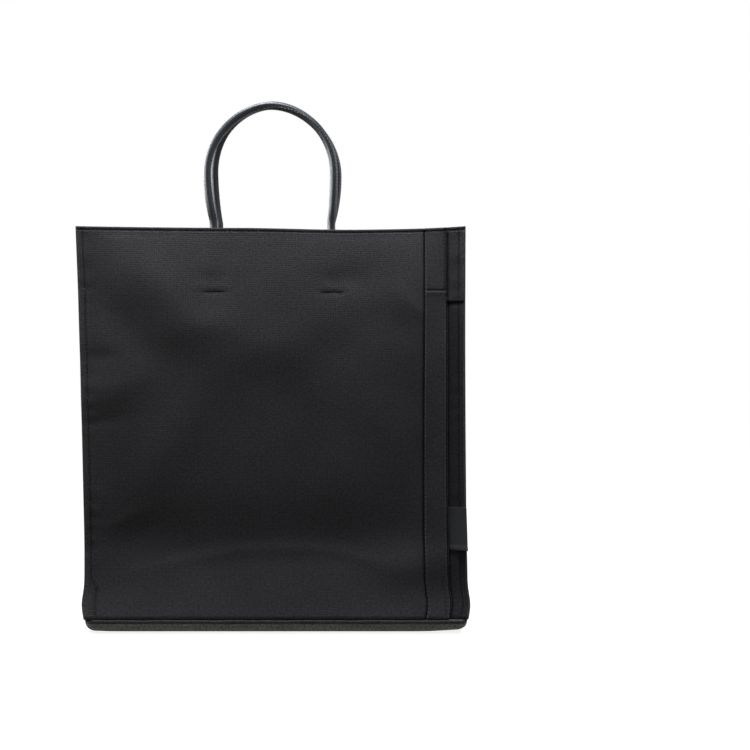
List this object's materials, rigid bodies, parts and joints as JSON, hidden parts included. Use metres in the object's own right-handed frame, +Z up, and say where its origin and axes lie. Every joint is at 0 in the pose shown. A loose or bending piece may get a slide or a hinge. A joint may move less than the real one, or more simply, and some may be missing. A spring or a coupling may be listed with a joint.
{
  "type": "canvas tote bag",
  "caption": "Tall canvas tote bag with folded side gussets, a flat front pocket, a boarded base with piping and two rolled leather handles.",
  "frame": {"origin": "middle of the base's underside, on the surface that the bag stands on", "axes": "+X to the bag's right as seen from its front, -Y out of the front with the pocket, +Z up"},
  "size_m": [0.401, 0.148, 0.544],
  "materials": {
    "canvas": "dense black cotton canvas, matt with a faint sheen",
    "facing": "black cotton tape, matt",
    "base_cloth": "coarse charcoal-olive canvas, matt",
    "piping": "piping cord in cloth, matt",
    "board": "stiff plastic board, matt",
    "leather": "black smooth leather, satin gloss",
    "core": "twisted cotton cord, raw",
    "thread": "black polyester thread",
    "label": "dark grey-green leather, fine grain, matt"
  },
  "bodies": {
    "bag": {"front_panel": "canvas", "pocket_edge_strip": "canvas", "front_inner_wall": "canvas", "corner_patch": "canvas", "back_panel": "canvas", "left_gusset": "canvas", "right_gusset": "canvas", "front_facing": "facing", "back_facing": "facing", "left_gusset_hem": "facing", "right_gusset_hem": "facing", "base_panel": "base_cloth", "base_board": "board", "base_piping": "piping", "front_handle_end_left": "leather", "front_handle_end_right": "leather", "rear_handle_end_left": "leather", "rear_handle_end_right": "leather", "bar_tacks": "thread", "label_seam": "label"},
    "front_handle": {"front_handle_loop": "leather", "front_handle_core": "core"},
    "rear_handle": {"rear_handle_loop": "leather", "rear_handle_core": "core"},
    "label_flap": {"label": "label"}
  },
  "joints": [
    {"name": "front_handle_swing", "type": "hinge", "parent": "bag", "child": "front_handle", "pos_m": [0, -0.0112, 0.413], "axis": [1, 0, 0], "range_deg": [0, 100]},
    {"name": "rear_handle_swing", "type": "hinge", "parent": "bag", "child": "rear_handle", "pos_m": [0, 0.0128, 0.413], "axis": [-1, 0, 0], "range_deg": [0, 100]},
    {"name": "label_swing", "type": "hinge", "parent": "bag", "child": "label_flap", "pos_m": [0.1744, -0.05833, 0.10005], "axis": [0, -0.0968, -0.9953], "range_deg": [-15, 115]}
  ]
}
